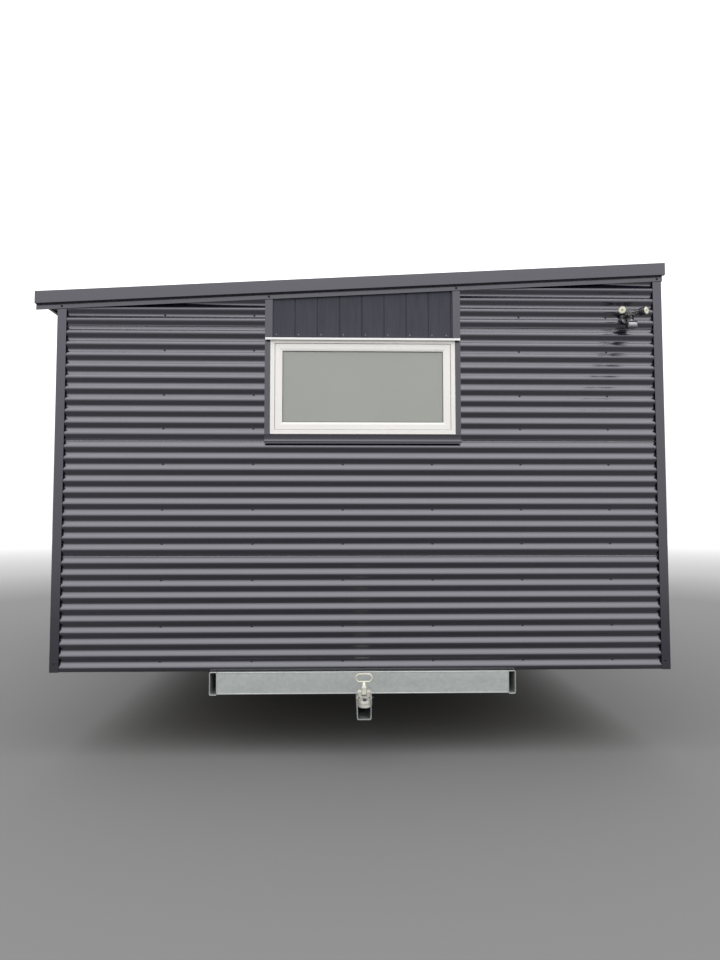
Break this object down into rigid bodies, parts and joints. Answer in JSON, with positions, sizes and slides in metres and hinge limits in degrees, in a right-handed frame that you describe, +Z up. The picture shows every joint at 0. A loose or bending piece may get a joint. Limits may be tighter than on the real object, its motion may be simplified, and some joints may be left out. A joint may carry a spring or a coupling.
{
  "type": "tiny house on wheels",
  "caption": "Single-slope cabin clad in charcoal corrugated steel on a galvanised trailer chassis with a tow coupling, white joinery and a twin-lamp security light.",
  "frame": {"origin": "on the ground, under the middle of the whole object's box", "axes": "+Z up, -Y towards the hitch end, -X towards the low eave"},
  "size_m": [4.252, 7.64, 3.2805],
  "materials": {
    "charcoal_steel": "satin",
    "timber": "matte",
    "lining": "matte",
    "white_joinery": "gloss",
    "glass": "gloss",
    "stained_board": "matte",
    "galvanised": "satin",
    "spring_steel": "matte",
    "rim_steel": "satin",
    "tyre_rubber": "matte",
    "zinc_casting": "satin",
    "black_plastic": "satin",
    "light_grey": "satin"
  },
  "bodies": {
    "house": {"floor_frame": "timber", "floor_panel": "timber", "front_wall": "lining", "rear_wall": "lining", "left_wall": "lining", "right_wall": "lining", "roof_panel": "lining", "front_cladding": "charcoal_steel", "rear_cladding": "charcoal_steel", "left_cladding": "charcoal_steel", "right_cladding": "charcoal_steel", "corner_flashings": "charcoal_steel", "roof_sheets": "charcoal_steel", "front_barge": "charcoal_steel", "rear_barge": "charcoal_steel", "barge_strips": "charcoal_steel", "eave_fascia": "charcoal_steel", "eave_soffit": "lining", "high_fascia": "charcoal_steel", "window_frames": "white_joinery", "window_sashes": "white_joinery", "window_glass": "glass", "head_flashings": "white_joinery", "opening_trims": "charcoal_steel", "sill_flashings": "charcoal_steel", "grooved_panels": "stained_board", "door_frame": "white_joinery", "door_leaves": "white_joinery", "door_glass": "glass", "entrance_handle": "light_grey", "chassis_rails": "galvanised", "front_channel": "galvanised", "cross_members": "galvanised", "outriggers": "galvanised", "drawbar": "galvanised", "axles": "galvanised", "leaf_springs": "spring_steel", "spring_hangers": "galvanised", "wheel_rims": "rim_steel", "tyres": "tyre_rubber", "coupling_body": "zinc_casting", "light_base": "black_plastic", "wall_light": "light_grey"},
    "coupling_handle": {"coupling_handle": "zinc_casting"},
    "lamp_left": {"lamp_left": "black_plastic"},
    "lamp_right": {"lamp_right": "black_plastic"},
    "motion_sensor": {"motion_sensor": "black_plastic"}
  },
  "joints": [
    {"name": "handle_lift", "type": "hinge", "parent": "house", "child": "coupling_handle", "pos_m": [0.055, -3.672, 0.451], "axis": [1, 0, 0], "range_deg": [0, 40]},
    {"name": "lamp_left_turn", "type": "hinge", "parent": "house", "child": "lamp_left", "pos_m": [1.797, -3.555, 2.923], "axis": [0, 0, 1], "range_deg": [-55, 30]},
    {"name": "lamp_right_turn", "type": "hinge", "parent": "house", "child": "lamp_right", "pos_m": [1.897, -3.555, 2.923], "axis": [0, 0, 1], "range_deg": [-35, 55]},
    {"name": "sensor_turn", "type": "hinge", "parent": "house", "child": "motion_sensor", "pos_m": [1.855, -3.555, 2.84], "axis": [0, 0, 1], "range_deg": [-60, 60]}
  ]
}
